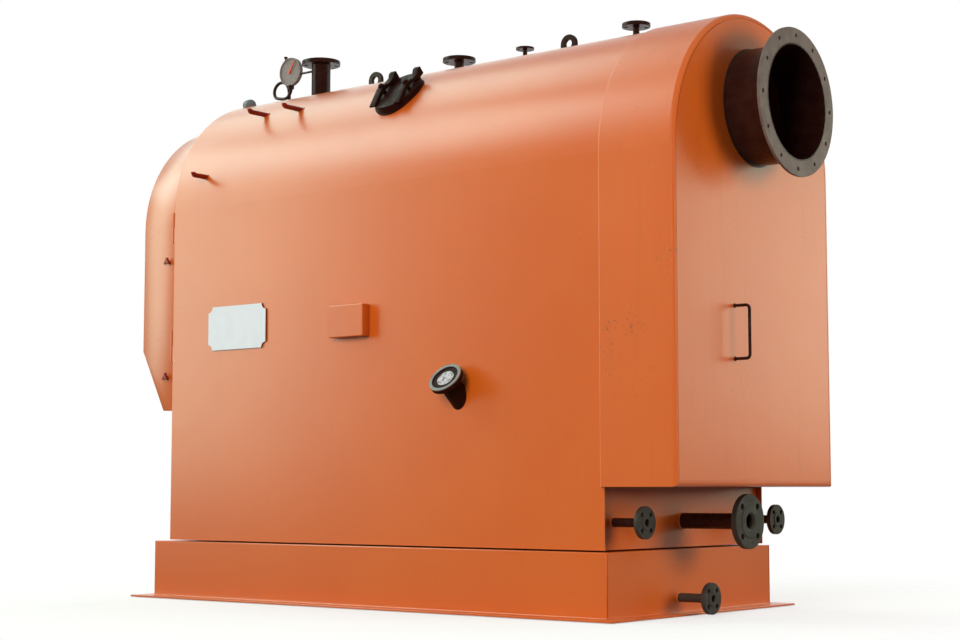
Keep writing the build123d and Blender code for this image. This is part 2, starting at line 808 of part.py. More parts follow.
# Gauge
gauge_back = gauge_offset + gauge_depth / 2
with BuildPart(gauge_plane) as gauge_body:
    Cylinder(gauge_radius, gauge_depth)
    with Locations((0, 0, gauge_depth / 2)):
        Cylinder(gauge_radius - gauge_bezel, gauge_bezel, align=(Align.CENTER, Align.CENTER, Align.MAX),
                 mode=Mode.SUBTRACT)
finish(gauge_body.part, "gauge_body")

# Air vent
air_vent_plane = roof_plane(jacket_front + air_vent_from_front, air_vent_angle, jacket_half_width)
with BuildPart(air_vent_plane) as air_vent:
    Cylinder(air_vent_radius, 2 * air_vent_rise)
    fillet(air_vent.edges().filter_by(GeomType.CIRCLE).sort_by(Axis.Z)[-1], air_vent_dome)
finish(seat_on_jacket(air_vent.part), "air_vent")

# Handhole neck
handhole_plane = roof_plane(handhole_place, handhole_angle, jacket_half_width)
with BuildPart() as handhole_neck:
    with BuildSketch(handhole_plane.offset(-handhole_length / 2)):
        Ellipse(handhole_length / 2, handhole_width / 2)
        Ellipse(handhole_length / 2 - handhole_wall, handhole_width / 2 - handhole_wall, mode=Mode.SUBTRACT)
    extrude(amount=handhole_length / 2 + handhole_rise)
finish(seat_on_jacket(handhole_neck.part), "handhole_neck")

# Handhole cover
with BuildPart() as handhole_cover:
    with BuildSketch(handhole_plane.offset(handhole_rise)):
        Ellipse(handhole_length / 2, handhole_width / 2)
    extrude(amount=handhole_cover_thickness)
finish(handhole_cover.part, "handhole_cover")

# Bridges over the handhole cover
cover_top = handhole_rise + handhole_cover_thickness
half_crown = yoke_crown_width / 2
with BuildPart() as handhole_yokes:
    for side in (-1, 1):
        middle = handhole_plane.from_local_coords((side * yoke_spacing / 2, 0, cover_top))
        with BuildSketch(Plane(origin=middle, x_dir=handhole_plane.y_dir, z_dir=(1, 0, 0))):
            Polygon(
                (-yoke_reach, 0),
                (-yoke_reach, yoke_toe_height),
                (-half_crown, yoke_crown_height),
                (half_crown, yoke_crown_height),
                (half_crown + yoke_waist, yoke_waist_height),
                (yoke_reach - yoke_heel_length, yoke_waist_height),
                (yoke_reach - yoke_heel_length / 2, yoke_heel_height),
                (yoke_reach, yoke_heel_height),
                (yoke_reach, 0),
                (yoke_reach - yoke_foot, 0),
                (half_crown, yoke_arch_height),
                (-half_crown, yoke_arch_height),
                (yoke_foot - yoke_reach, 0),
                align=None,
            )
        extrude(amount=yoke_width / 2, both=True)
    with BuildSketch(handhole_plane.offset(cover_top)):
        with GridLocations(yoke_spacing, 0, 2, 1):
            Circle(stud_radius + stud_clearance)
    extrude(amount=yoke_crown_height, mode=Mode.SUBTRACT)
finish(handhole_yokes.part, "handhole_yokes")

# Studs and nuts that hold the bridges down
with BuildPart() as handhole_studs:
    with BuildSketch(handhole_plane.offset(cover_top)):
        with GridLocations(yoke_spacing, 0, 2, 1):
            Circle(stud_radius)
    extrude(amount=yoke_crown_height + nut_height + stud_tip)
    with BuildSketch(handhole_plane.offset(cover_top + yoke_crown_height)):
        with GridLocations(yoke_spacing, 0, 2, 1):
            RegularPolygon(nut_size / 2, 6, major_radius=False)
    extrude(amount=nut_height)
finish(handhole_studs.part, "handhole_studs")

# Pegs with turned-up ends
with BuildPart() as side_pegs:
    for from_front, angle, reach in zip(peg_from_front, peg_angles, peg_reaches):
        foot = roof_plane(jacket_front + from_front, angle, jacket_half_width).origin
        with BuildLine() as peg:
            FilletPolyline(
                foot + (0, reach / 2, 0),
                foot - (0, reach, 0),
                foot + (0, -reach, peg_hook),
                radius=peg_radius,
            )
        with BuildSketch(Plane(origin=peg.line @ 0, z_dir=peg.line % 0)):
            Circle(peg_radius)
        sweep(path=peg.line)
finish(seat_on_jacket(side_pegs.part), "side_pegs")

# Junction box
with BuildPart() as junction_box:
    with Locations((box_place, -jacket_half_width, box_height)):
        Box(box_length, box_depth, box_width, align=(Align.CENTER, Align.MAX, Align.CENTER))
    fillet(junction_box.edges().filter_by(Axis.Y), box_corner)
finish(junction_box.part, "junction_box")

# Nameplate with notched corners
plate_middle = (jacket_front + plate_from_front, -jacket_half_width, plate_height)
with BuildPart() as nameplate:
    with BuildSketch(Plane(origin=plate_middle, x_dir=(1, 0, 0), z_dir=(0, -1, 0))):
        Rectangle(plate_length, plate_width)
        with GridLocations(plate_length, plate_width, 2, 2):
            Circle(plate_notch, mode=Mode.SUBTRACT)
    extrude(amount=plate_thickness)
finish(nameplate.part, "nameplate")

# Sight tube, with its head and the ring and glass in it
with BuildPart() as sight_tube:
    with BuildSketch(sight_plane.offset(-sight_root)):
        Circle(sight_tube_outer / 2)
        Circle(sight_tube_bore / 2, mode=Mode.SUBTRACT)
    extrude(amount=sight_root + sight_reach - sight_head_thickness)
    with BuildSketch(sight_plane.offset(sight_reach - sight_head_thickness)):
        Circle(sight_ring_outer / 2)
        Circle(sight_tube_bore / 2, mode=Mode.SUBTRACT)
    extrude(amount=sight_head_thickness)
    with BuildSketch(sight_plane.offset(sight_reach)):
        Circle(sight_glass_radius)
    extrude(amount=-sight_glass_thickness, mode=Mode.SUBTRACT)
    extrude(arch(jacket_front, shell_half_width, jacket_spring, shell_bottom),
            amount=jacket_rear - jacket_front, mode=Mode.SUBTRACT)
finish(sight_tube.part, "sight_tube")

with BuildPart() as sight_glass:
    with BuildSketch(sight_plane.offset(sight_reach - sight_glass_thickness)):
        Circle(sight_glass_radius)
    extrude(amount=sight_glass_thickness)
finish(sight_glass.part, "sight_glass")

with BuildPart() as sight_ring:
    with BuildSketch(sight_plane.offset(sight_reach)):
        Circle(sight_ring_outer / 2)
        Circle(sight_ring_outer / 2 - sight_rim, mode=Mode.SUBTRACT)
    extrude(amount=sight_ring_thickness)
finish(sight_ring.part, "sight_ring")

# Gauge pointer, raised off the dial on a hub
dial_plane = gauge_plane.offset(gauge_depth / 2 - gauge_bezel)
with BuildPart() as gauge_pointer:
    with BuildSketch(dial_plane):
        Circle(pointer_width / 2)
    extrude(amount=pointer_lift)
    with BuildSketch(dial_plane.offset(pointer_lift)):
        with Locations(Rotation(0, 0, pointer_turn)):
            Polygon(
                (-pointer_tail, -pointer_width / 2),
                (pointer_length, -pointer_tip / 2),
                (pointer_length, pointer_tip / 2),
                (-pointer_tail, pointer_width / 2),
                align=None,
            )
    extrude(amount=pointer_thickness)
finish(gauge_pointer.part, "gauge_pointer")

# Cock behind the gauge: a capped post on an arm
cock_place = gauge_place - cock_from_gauge
with BuildPart() as gauge_cock:
    with Locations((cock_place, gauge_back, gauge_height)):
        Box(cock_from_gauge, 2 * cock_radius, 2 * cock_radius, align=(Align.MIN, Align.MIN, Align.MIN))
    with Locations((cock_place, gauge_back + cock_radius, gauge_height)):
        Cylinder(cock_radius, cock_rise, align=(Align.CENTER, Align.CENTER, Align.MIN))
    with Locations((cock_place, gauge_back + cock_radius, gauge_height + cock_rise)):
        Cylinder(cock_cap_radius, cock_cap_height, align=(Align.CENTER, Align.CENTER, Align.MAX))
finish(gauge_cock.part, "gauge_cock")

# Stay from the gauge to the steam outlet, cut to the round of both
stay_height = gauge_height - stay_drop
with BuildPart() as gauge_stay:
    with BuildSketch(Plane.YZ.offset(gauge_place)):
        with Locations((gauge_offset, stay_height)):
            Circle(stay_radius)
    extrude(amount=gauge_from_steam)
    with Locations(gauge_plane):
        Cylinder(gauge_radius, gauge_depth, mode=Mode.SUBTRACT)
    with Locations((steam_place, 0, stay_height)):
        Cylinder(steam_pipe_size[0] / 2, gauge_depth, mode=Mode.SUBTRACT)
finish(gauge_stay.part, "gauge_stay")

# Door hood
door_inner = door_form(door_sheet, door_rear)
with BuildPart() as door_hood:
    add(door_form(0, door_rear))
    add(door_inner, mode=Mode.SUBTRACT)
finish(door_hood.part, "door_hood")

# Heat-proof lining inside the door
lining_rear = door_front + door_sheet + door_lining_thickness
with BuildPart() as door_lining:
    add(door_form(door_sheet, lining_rear))
finish(door_lining.part, "door_lining")

# Hinge line, beside the door's near side
hinge_x = (jacket_front + door_rear) / 2 - hinge_radius - door_gap / 2
hinge_y = -door_half_width - hinge_side_gap - hinge_radius
half_hinge = hinge_length / 2

# Lower hinge halves, welded to the front wall, with the pins
with BuildPart() as hinge_pins:
    for height in hinge_heights:
        with Locations((hinge_x, hinge_y, height - half_hinge)):
            Cylinder(hinge_radius, half_hinge - hinge_washer_gap,
                     align=(Align.CENTER, Align.CENTER, Align.MIN))
            Cylinder(hinge_pin_radius, half_hinge + hinge_pin_reach,
                     align=(Align.CENTER, Align.CENTER, Align.MIN))
            Box(jacket_front - hinge_x, hinge_leaf, half_hinge - hinge_washer_gap,
                align=(Align.MIN, Align.CENTER, Align.MIN))
finish(hinge_pins.part, "hinge_pins")

# Upper hinge halves, welded to the door
with BuildPart() as hinge_knuckles:
    for height in hinge_heights:
        with Locations((hinge_x, hinge_y, height)):
            Cylinder(hinge_radius, half_hinge, align=(Align.CENTER, Align.CENTER, Align.MIN))
            Box(hinge_leaf / 2, -door_half_width - hinge_y, half_hinge,
                align=(Align.CENTER, Align.MIN, Align.MIN))
            Cylinder(hinge_pin_radius + hinge_pin_clearance, hinge_pin_reach + hinge_washer_gap,
                     align=(Align.CENTER, Align.CENTER, Align.MIN), mode=Mode.SUBTRACT)
finish(hinge_knuckles.part, "hinge_knuckles")

# Clamp screws round the door's sides: three arms on a short stem
clamp_x = door_rear - clamp_setback
clamp_turn = math.radians(clamp_arch_angle)
clamp_planes = []
for side in (-1, 1):
    for height in clamp_heights:
        clamp_planes.append(Plane(origin=(clamp_x, side * door_half_width, height), x_dir=(1, 0, 0),
                                  z_dir=(0, side, 0)))
    outward = (0, side * math.cos(clamp_turn), math.sin(clamp_turn))
    arch_point = (clamp_x, door_half_width * outward[1], door_spring + door_half_width * outward[2])
    clamp_planes.append(Plane(origin=arch_point, x_dir=(1, 0, 0), z_dir=outward))
with BuildPart() as clamp_screws:
    for plane in clamp_planes:
        with BuildSketch(plane):
            Circle(clamp_stem_radius)
        extrude(amount=clamp_stem_length)
        with BuildSketch(plane.offset(clamp_stem_length)):
            Circle(clamp_hub_radius)
            with PolarLocations(clamp_arm_length / 2, clamp_arms, start_angle=90):
                Rectangle(clamp_arm_length, clamp_arm_width)
        extrude(amount=clamp_thickness)
finish(clamp_screws.part, "clamp_screws")
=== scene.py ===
import bmesh
import bpy
import json
import math
from mathutils import Matrix, Vector

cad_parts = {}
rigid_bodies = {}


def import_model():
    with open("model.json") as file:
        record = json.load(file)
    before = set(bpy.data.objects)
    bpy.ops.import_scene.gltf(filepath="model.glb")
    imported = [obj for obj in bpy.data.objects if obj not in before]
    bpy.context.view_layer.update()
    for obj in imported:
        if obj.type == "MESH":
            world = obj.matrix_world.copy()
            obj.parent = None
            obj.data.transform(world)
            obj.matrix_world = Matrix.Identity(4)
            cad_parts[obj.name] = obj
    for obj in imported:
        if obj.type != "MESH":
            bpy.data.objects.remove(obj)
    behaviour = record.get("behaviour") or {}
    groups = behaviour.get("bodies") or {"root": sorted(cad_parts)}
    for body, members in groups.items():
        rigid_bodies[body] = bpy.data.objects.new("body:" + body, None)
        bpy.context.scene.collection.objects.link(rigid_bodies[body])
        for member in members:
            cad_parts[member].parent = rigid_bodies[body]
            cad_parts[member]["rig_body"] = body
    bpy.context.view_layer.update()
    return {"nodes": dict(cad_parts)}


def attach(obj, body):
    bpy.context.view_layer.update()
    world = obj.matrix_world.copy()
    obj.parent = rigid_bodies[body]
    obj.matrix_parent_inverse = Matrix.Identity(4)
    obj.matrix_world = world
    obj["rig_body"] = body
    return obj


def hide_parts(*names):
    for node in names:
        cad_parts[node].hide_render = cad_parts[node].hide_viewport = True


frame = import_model()

# Colours of the finishes, linear; a name that ends in WORN is the tone of the scuffed places
ORANGE = (0.560, 0.090, 0.005)
ORANGE_PALE = (0.590, 0.104, 0.008)
ORANGE_DEEP = (0.480, 0.065, 0.003)
GRIME = (0.120, 0.045, 0.020)
# Near-black paint with a dark red cast; the cast is a painted reflection of the orange jacket
BLACK_WITH_PAINTED_REFLECTION = (0.018, 0.004, 0.003)
BLACK_WORN_WITH_PAINTED_REFLECTION = (0.028, 0.009, 0.006)
DULL_BLACK_WORN_WITH_PAINTED_REFLECTION = (0.024, 0.006, 0.004)
FLANGE_GREY = (0.052, 0.043, 0.033)
FLANGE_WORN = (0.032, 0.026, 0.020)
# Deep red on the side pegs and clamp screws stands in for their orange paint in shade: painted shade
PAINTED_SHADE_RED = (0.250, 0.012, 0.003)
PAINTED_SHADE_RED_WORN = (0.160, 0.006, 0.002)
STEEL_GREY = (0.230, 0.240, 0.250)
STEEL_WORN = (0.150, 0.155, 0.160)
RING_STEEL = (0.235, 0.205, 0.205)
RING_WORN = (0.160, 0.140, 0.140)
# Grey of the gauge's dial stands in for a white dial in shade: painted shade
DIAL_PAINTED_SHADE_GREY = (0.215, 0.175, 0.165)
DIAL_PAINTED_SHADE_WORN = (0.180, 0.148, 0.140)
FLUE_GREY = (0.150, 0.112, 0.092)
FLUE_WORN = (0.110, 0.080, 0.066)
PLATE_WHITE = (0.640, 0.645, 0.690)
PLATE_WORN = (0.605, 0.610, 0.655)
# Dark red on the nameplate's cut edge: painted shade on the side of a white plate
PLATE_SIDE_PAINTED_SHADE = (0.090, 0.010, 0.006)
PLATE_SIDE_PAINTED_SHADE_WORN = (0.060, 0.006, 0.004)
POINTER_RED = (0.700, 0.080, 0.020)
POINTER_WORN = (0.620, 0.060, 0.015)
BOILER_PLATE = (0.110, 0.100, 0.095)
BOILER_PLATE_WORN = (0.060, 0.045, 0.035)
LINING_BUFF = (0.420, 0.340, 0.250)
LINING_WORN = (0.300, 0.230, 0.160)
GLASS_PALE = (0.400, 0.350, 0.380)
GLASS_STREAK = (0.130, 0.105, 0.115)

# The orange enamel's gloss, and what full soiling adds to its roughness
ENAMEL_ROUGHNESS = (0.280, 0.305)
ROUGHNESS_OF_SOILING = 0.125
ENAMEL_IOR = 2.0
COAT_ROUGHNESS = 0.28

# Sockets of the Mix node when it mixes colours
MIX_SHARE = 0
MIX_FIRST = 6
MIX_SECOND = 7
MIX_RESULT = 2

# Sizes of the added detail, metres
SHEET_EDGE = 0.0025
FLANGE_EDGE = 0.0012
FINE_EDGE = 0.0006
SAME_POINT = 1e-6
WELD = 0.004
FINE_WELD = 0.0025
UNION_RADIUS = 0.0125
UNION_EDGE = 0.0008

# Width, length and thickness of the marks on the dial, metres
LONG_MARK = (0.0016, 0.008, 0.0004)
SHORT_MARK = (0.0010, 0.005, 0.0004)

# Counts in the added detail, and the round profile of its edges
EDGE_SEGMENTS = 2
ROUND_PROFILE = 0.5
BEAD_SIDES = 10
BEAD_STEPS = 64
GAUGE_MARKS = 26
LONG_MARK_EVERY = 5
UNION_SIDES = 6

# Angles of the added detail: sharp edges, flat joins and the dial's scale, which is in degrees
SHARP = math.radians(35)
SAME_PLANE = math.radians(0.5)
DIAL_START = -135
DIAL_SWEEP = 270

# Directions on the boiler, and how much of one makes a face or an axis count as turned that way
REARWARD = (1, 0, 0)
NEARWARD = (0, -1, 0)
UPWARD = (0, 0, 1)
FACES_OUT = 0.5
LIES_ALONG = 0.9

# Places and sizes on the boiler that the added detail follows, metres
JACKET_RADIUS = 0.450
JACKET_SPRING = 1.365
ROOF_TOP = JACKET_SPRING + JACKET_RADIUS
REAR_WALL = 0.934
REAR_PANEL = 1.2055
FLUE_HEIGHT = 1.535
FLUE_RADIUS = 0.178
PIPE_HEIGHT = 0.280
FEED_RADIUS = 0.02415
DRAIN_RADIUS = 0.01345
DRAIN_OFFSET = 0.378
HANDLE_OFFSET = -0.131
HANDLE_HEIGHTS = (0.761, 0.919)
HANDLE_RADIUS = 0.00475
PEG_RADIUS = 0.0085
LUG_PLACES = (-0.350, 0.510)
LUG_HALF_WIDTH = 0.0315
LUG_HALF_THICKNESS = 0.006
HANDHOLE_PLACE = 0.042
HANDHOLE_DEGREES = 45
HANDHOLE_HALF_LENGTH = 0.085
HANDHOLE_HALF_WIDTH = 0.097
PLINTH_HALF_LENGTH = 0.970
PLINTH_HALF_WIDTH = 0.466
PLINTH_DRAIN = (PLINTH_HALF_LENGTH, -0.082, 0.051)
BASE_TOP = 0.006
DIAL = (-0.772, -0.0132, 1.936)
DIAL_RADIUS = 0.0475

# Place along the boiler and radius of each pipe on the roof
ROOF_PIPES = ((-0.625, 0.035), (0.038, 0.01685), (0.326, 0.0075), (0.776, 0.01065))

# Place along the boiler of each peg, and its degrees down from the top
PEGS = ((-0.601, 41.7), (-0.426, 42.5), (-0.760, 75.6))

# Centre and height of the union at each end of the siphon
SIPHON_UNIONS = (((-0.772, -0.009, 1.878), 0.014), ((-0.801, 0.009, 1.820), 0.012))

# The floor, metres and colours
FLOOR_RADIUS = 14.0
FLOOR_SIDES = 96
FLOOR_DROP = 0.002
FLOOR_ROUGHNESS = 0.9
FLOOR_SEEN = (0.860, 0.860, 0.860)
FLOOR_MIRRORED = (0.200, 0.190, 0.180)

# How far from the middle the floor fades, and how clear it is at each end of that
FADE_REACH = (1.1, 3.2)
FADE_SHARE = (0.55, 1.0)

# The studio round the boiler: soft light that grows with height, and a white backdrop
SOFT_TINT = (1.0, 0.96, 0.78, 1.0)
SOFT_RISE = (0.0, 0.8)
SOFT_STRENGTH = (0.10, 0.32)
WHITE = (1.0, 1.0, 1.0, 1.0)
BACKDROP_SIDE = (-0.63, 0.78, 0.0)
BACKDROP_FADE = (0.5, 0.9)

# Colours of the lamps
NEUTRAL = (1, 1, 1)
WARM = (0.80, 0.98, 0.77)
PALE = (0.70, 1.0, 0.88)

# The camera: metres, degrees and millimetres of film
CAMERA_PLACE = (3.9484, -4.7518, 0.3794)
CAMERA_PITCH = 5.3344
CAMERA_YAW = 38.7784
CAMERA_LENS = 67.58
CAMERA_SENSOR = 36


# Shader nodes

def node(tree, kind, **values):
    """A shader node with its properties and constant inputs set."""
    made = tree.nodes.new(kind)
    for name, value in values.items():
        if name in made.inputs:
            made.inputs[name].default_value = value
        else:
            setattr(made, name, value)
    return made


def coordinates(tree, stretch):
    """The part's own coordinates in metres, stretched along each axis."""
    source = node(tree, "ShaderNodeTexCoord")
    mapping = node(tree, "ShaderNodeMapping", Scale=stretch)
    tree.links.new(source.outputs["Object"], mapping.inputs["Vector"])
    return mapping.outputs["Vector"]


def noise(tree, cells, detail=3.0, stretch=(1, 1, 1), roughness=0.5):
    """Noise of so many cells a metre."""
    made = node(tree, "ShaderNodeTexNoise", Scale=cells, Detail=detail, Roughness=roughness)
    tree.links.new(coordinates(tree, stretch), made.inputs["Vector"])
    return made.outputs["Fac"]


def spread(tree, value, band, out=(0.0, 1.0)):
    """A band of a value spread over the range out, and held at its ends beyond the band."""
    made = node(tree, "ShaderNodeMapRange")
    made.inputs["From Min"].default_value, made.inputs["From Max"].default_value = band
    made.inputs["To Min"].default_value, made.inputs["To Max"].default_value = out
    tree.links.new(value, made.inputs["Value"])
    return made.outputs["Result"]


def blend(tree, share, first, second):
    """Mixes two colours, each a constant or another node's output."""
    made = node(tree, "ShaderNodeMix", data_type="RGBA")
    tree.links.new(share, made.inputs[MIX_SHARE])
    for socket, colour in ((made.inputs[MIX_FIRST], first), (made.inputs[MIX_SECOND], second)):
        if isinstance(colour, tuple):
            socket.default_value = (*colour, 1.0)
        else:
            tree.links.new(colour, socket)
    return made.outputs[MIX_RESULT]


def combine(tree, operation, first, second):
    """The sum or product of two shares, held at 1."""
    made = node(tree, "ShaderNodeMath", operation=operation, use_clamp=True)
    tree.links.new(first, made.inputs[0])
    tree.links.new(second, made.inputs[1])
    return made.outputs[0]


def bump(tree, height, strength, distance):
    """A normal roughened by a height."""
    made = node(tree, "ShaderNodeBump", Strength=strength, Distance=distance)
    tree.links.new(height, made.inputs["Height"])
    return made.outputs["Normal"]


def mix_shaders(tree, share, first, second):
    """The first shader, with a share of it given to the second."""
    made = node(tree, "ShaderNodeMixShader")
    for socket, source in zip(made.inputs, (share, first, second)):
        tree.links.new(source, socket)
    return made.outputs[0]


# Materials

def surface(name):
    """A new material, its node tree and its shader."""
    made = bpy.data.materials.new(name)
    made.use_nodes = True
    return made, made.node_tree, made.node_tree.nodes["Principled BSDF"]


def orange_enamel(name, soiling, streaks, gloss=0.2):
    """Brushed-on orange enamel: soft colour drift, specks of grime and faint vertical streaks."""
    made, tree, shader = surface(name)
    drift = spread(tree, noise(tree, cells=1.6, detail=2.0), band=(0.35, 0.65))
    colour = blend(tree, drift, ORANGE, ORANGE_PALE)
    mottle = spread(tree, noise(tree, cells=9.0, detail=5.0), band=(0.52, 0.78), out=(0.0, 0.12))
    colour = blend(tree, mottle, colour, ORANGE_DEEP)
    runs = spread(tree, noise(tree, cells=26.0, stretch=(1, 1, 0.06)), band=(0.58, 0.80), out=(0.0, streaks))
    colour = blend(tree, runs, colour, GRIME)
    patches = spread(tree, noise(tree, cells=5.0), band=(0.50, 0.68))
    specks = noise(tree, cells=120.0, detail=4.0, stretch=(1, 1, 0.7), roughness=0.65)
    specks = spread(tree, specks, band=(0.60, 0.68))
    dirt = spread(tree, combine(tree, "MULTIPLY", patches, specks), band=(0.0, 1.0), out=(0.0, soiling))
    colour = blend(tree, dirt, colour, GRIME)
    tree.links.new(colour, shader.inputs["Base Color"])
    dulled = [end + ROUGHNESS_OF_SOILING * soiling for end in ENAMEL_ROUGHNESS]
    wear = spread(tree, noise(tree, cells=14.0, detail=5.0), band=(0.35, 0.70), out=dulled)
    tree.links.new(wear, shader.inputs["Roughness"])
    brushed = bump(tree, noise(tree, cells=420.0, detail=2.0), strength=0.10, distance=0.0004)
    tree.links.new(brushed, shader.inputs["Normal"])
    shader.inputs["IOR"].default_value = ENAMEL_IOR
    shader.inputs["Coat Weight"].default_value = gloss
    shader.inputs["Coat Roughness"].default_value = COAT_ROUGHNESS
    return made


def worn_finish(name, colour, worn, roughness, metallic=0.0, ior=1.5):
    """Plain paint, bare metal or cast lining: uneven tone, scuffs and a fine grain."""
    made, tree, shader = surface(name)
    scuffs = spread(tree, noise(tree, cells=22.0, detail=5.0), band=(0.38, 0.72))
    tree.links.new(blend(tree, scuffs, colour, worn), shader.inputs["Base Color"])
    wear = spread(tree, noise(tree, cells=60.0, detail=4.0), band=(0.3, 0.7), out=roughness)
    tree.links.new(wear, shader.inputs["Roughness"])
    grain = bump(tree, noise(tree, cells=700.0), strength=0.25, distance=0.0005)
    tree.links.new(grain, shader.inputs["Normal"])
    shader.inputs["Metallic"].default_value = metallic
    shader.inputs["IOR"].default_value = ior
    return made


def smoked_glass(name):
    """Thick heat-proof glass, smoked in streaks."""
    made, tree, shader = surface(name)
    smoke = spread(tree, noise(tree, cells=110.0, stretch=(1, 1, 0.35)), band=(0.45, 0.62))
    tree.links.new(blend(tree, smoke, GLASS_PALE, GLASS_STREAK), shader.inputs["Base Color"])
    wear = spread(tree, noise(tree, cells=140.0), band=(0.3, 0.7), out=(0.08, 0.2))
    tree.links.new(wear, shader.inputs["Roughness"])
    return made


PAINT = orange_enamel("orange_enamel", soiling=0.35, streaks=0.05)
PAINT_SOILED = orange_enamel("orange_enamel_soiled", soiling=0.75, streaks=0.14)
PAINT_GLOSSY = orange_enamel("orange_enamel_glossy", soiling=0.75, streaks=0.12, gloss=0.9)
# Black and dull enamel carry a dark red cast, painted reflection of the orange jacket
BLACK = worn_finish("black_enamel_and_painted_reflection", BLACK_WITH_PAINTED_REFLECTION, BLACK_WORN_WITH_PAINTED_REFLECTION, roughness=(0.24, 0.40), ior=1.36)
FLANGE = worn_finish("flange_steel", FLANGE_GREY, FLANGE_WORN, roughness=(0.42, 0.62), metallic=0.2)
# Orange paint of the pegs and clamp screws given as deep red: painted shade
RED_OF_PAINTED_SHADE = worn_finish("deep_red_painted_shade", PAINTED_SHADE_RED, PAINTED_SHADE_RED_WORN, roughness=(0.30, 0.45))
GREY = worn_finish("grey_steel", STEEL_GREY, STEEL_WORN, roughness=(0.28, 0.45), metallic=0.5)
PLATE = worn_finish("white_plate", PLATE_WHITE, PLATE_WORN, roughness=(0.30, 0.42))
# The nameplate's cut edge, dark red as painted shade
PLATE_EDGE_PAINTED_SHADE = worn_finish("plate_edge_painted_shade", PLATE_SIDE_PAINTED_SHADE, PLATE_SIDE_PAINTED_SHADE_WORN, roughness=(0.40, 0.55), ior=1.3)
DULL_BLACK = worn_finish("dull_enamel_and_painted_reflection", BLACK_WITH_PAINTED_REFLECTION, DULL_BLACK_WORN_WITH_PAINTED_REFLECTION, roughness=(0.40, 0.55), ior=1.2)
RING = worn_finish("ring_steel", RING_STEEL, RING_WORN, roughness=(0.32, 0.42), metallic=0.8)
# The gauge's white dial given as grey: painted shade
DIAL_PAINTED_SHADE = worn_finish("dial_painted_shade_grey", DIAL_PAINTED_SHADE_GREY, DIAL_PAINTED_SHADE_WORN, roughness=(0.35, 0.50), ior=1.4)
FLUE_STEEL = worn_finish("flue_steel", FLUE_GREY, FLUE_WORN, roughness=(0.45, 0.65), ior=1.4)
POINTER = worn_finish("pointer_enamel", POINTER_RED, POINTER_WORN, roughness=(0.35, 0.5))
STEEL = worn_finish("boiler_plate", BOILER_PLATE, BOILER_PLATE_WORN, roughness=(0.45, 0.7), metallic=0.4)
LINING = worn_finish("cast_lining", LINING_BUFF, LINING_WORN, roughness=(0.8, 0.95))
GLASS = smoked_glass("sight_glass")

# The CAD nodes that each material dresses
FINISHES = (
    (PAINT, ("base_plate", "plinth_side_panels", "plinth_end_panels", "plinth_deck", "main_jacket",
             "front_wall", "rear_wall", "smokebox_floor", "junction_box", "hinge_pins", "hinge_knuckles")),
    (PAINT_SOILED, ("smokebox_jacket", "smokebox_rear_panel")),
    (PAINT_GLOSSY, ("door_hood",)),
    (BLACK, ("feed_pipe", "drain_pipes", "steam_outlet", "safety_valve_pipe", "probe_pipe", "vent_pipe",
             "lifting_lugs", "rear_handle", "gauge_siphon", "gauge_stay", "gauge_cock", "flue_pipe")),
    (DULL_BLACK, ("handhole_neck", "handhole_cover", "handhole_yokes", "handhole_studs", "sight_tube")),
    (FLANGE, ("feed_flange", "drain_flanges", "plinth_drain", "burner_flange")),
    (FLUE_STEEL, ("flue_flange",)),
    (STEEL, ("boiler_saddles", "boiler_shell", "front_tube_plate", "rear_tube_plate", "furnace_tube",
             "turning_chamber", "smoke_tubes")),
    (RED_OF_PAINTED_SHADE, ("side_pegs", "clamp_screws")),
    (GREY, ("air_vent",)),
    (DIAL_PAINTED_SHADE, ("gauge_body",)),
    (POINTER, ("gauge_pointer",)),
    (PLATE, ("nameplate",)),
    (RING, ("sight_ring",)),
    (GLASS, ("sight_glass",)),
    (LINING, ("door_lining",)),
)
DRESS = {name: material for material, names in FINISHES for name in names}


def dress_frame():
    """Gives every CAD node its material."""
    for name, obj in frame["nodes"].items():
        obj.data.materials.clear()
        obj.data.materials.append(DRESS[name])


# Scene pieces

def mesh_from(name, shape):
    """A mesh with a bmesh's shape; the bmesh is freed."""
    mesh = bpy.data.meshes.new(name)
    shape.to_mesh(mesh)
    shape.free()
    return mesh


def in_scene(name, data):
    """A new object in the scene."""
    obj = bpy.data.objects.new(name, data)
    bpy.context.scene.collection.objects.link(obj)
    return obj


def piece(name, mesh, material, body):
    """A mesh as a scene piece that rides on a body, shaded smooth but for its sharp edges."""
    mesh.shade_smooth()
    mesh.set_sharp_from_angle(angle=SHARP)
    mesh.materials.append(material)
    obj = in_scene(name, mesh)
    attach(obj, body)
    return obj


def finished(name, shape, material):
    """A bmesh as a scene piece on the boiler, with its faces turned outward."""
    bmesh.ops.recalc_face_normals(shape, faces=shape.faces)
    piece(name, mesh_from(name, shape), material, "boiler")


# Rounded edges

def is_flat(face, corners):
    """Whether a face meets only rounded corners and faces in its own plane."""
    others = {other for edge in face.edges for other in edge.link_faces} - corners - {face}
    return all(face.normal.dot(other.normal) >= math.cos(SAME_PLANE) for other in others)


